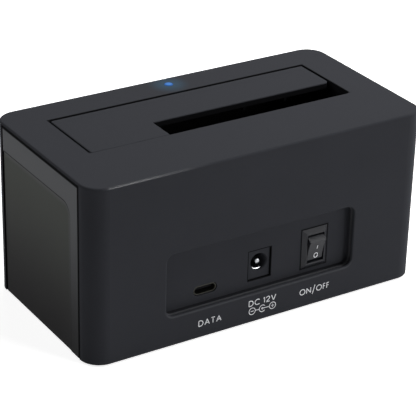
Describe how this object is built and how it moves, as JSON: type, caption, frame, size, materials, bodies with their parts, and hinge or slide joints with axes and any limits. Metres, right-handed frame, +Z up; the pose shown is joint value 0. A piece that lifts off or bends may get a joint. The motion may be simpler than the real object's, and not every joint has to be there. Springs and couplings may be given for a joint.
{
  "type": "hard drive docking station",
  "caption": "Upright single-bay hard drive dock: rounded box with a sprung L-shaped flap over the drive slot, a small drive notch, a light and a recessed panel with power, data and rocker switch.",
  "frame": {"origin": "bottom centre of the body, on the surface that the feet stand on", "axes": "+X along the long side towards the notch end, +Y towards the light side, -Y towards the port side, +Z up"},
  "size_m": [0.135, 0.07, 0.0662],
  "materials": {
    "housing_black": "fine textured black plastic",
    "cover_black": "fine textured black plastic",
    "flap_black": "fine textured black plastic",
    "liner_black": "plain black plastic",
    "panel_black": "fine textured black plastic",
    "switch_black": "satin black plastic",
    "rubber_black": "matte rubber",
    "screw_steel": "zinc plated steel",
    "spring_steel": "bright steel",
    "board_green": "solder mask",
    "chip_black": "moulded epoxy",
    "contact_gold": "gold plated",
    "jack_black": "satin black plastic",
    "jack_metal": "nickel plated",
    "socket_metal": "nickel plated",
    "connector_black": "plain black plastic",
    "can_metal": "satin",
    "inductor_grey": "pressed powder",
    "light_blue": "clear lit plastic",
    "led_white": "white plastic",
    "lead_red": "plastic sleeve"
  },
  "bodies": {
    "housing": {"housing_shell": "housing_black", "side_cover_left": "cover_black", "side_cover_right": "cover_black", "base_plate": "housing_black", "rubber_feet": "rubber_black", "base_screws": "screw_steel", "port_panel": "panel_black", "bay_liner": "liner_black", "liner_screws": "screw_steel", "hinge_pin": "spring_steel", "flap_spring_left": "spring_steel", "flap_spring_right": "spring_steel", "main_board": "board_green", "board_screws": "screw_steel", "bridge_chip": "chip_black", "memory_chip": "chip_black", "regulator_chip": "chip_black", "crystal": "can_metal", "inductors": "inductor_grey", "capacitors": "can_metal", "indicator_led": "led_white", "light_pipe": "light_blue", "drive_connector": "connector_black", "drive_contacts": "contact_gold", "data_socket_shell": "socket_metal", "data_socket_tongue": "connector_black", "data_socket_contacts": "contact_gold", "power_jack_body": "jack_black", "power_jack_pin": "jack_metal", "power_jack_spring": "jack_metal", "switch_frame": "switch_black", "switch_terminals": "contact_gold", "switch_leads": "lead_red"},
    "bay_flap": {"flap": "flap_black"},
    "switch_rocker": {"rocker": "switch_black"}
  },
  "joints": [
    {"name": "flap_hinge", "type": "hinge", "parent": "housing", "child": "bay_flap", "pos_m": [0, 0.0234, 0.0615], "axis": [1, 0, 0], "range_deg": [0, 90], "stiffness_Nm_per_rad": 0.003, "springref_deg": -51.57, "deforming": ["flap_spring_left", "flap_spring_right"]},
    {"name": "rocker_pivot", "type": "hinge", "parent": "housing", "child": "switch_rocker", "pos_m": [0.0239, -0.0305, 0.0217], "axis": [-1, 0, 0], "range_deg": [0, 28]}
  ]
}
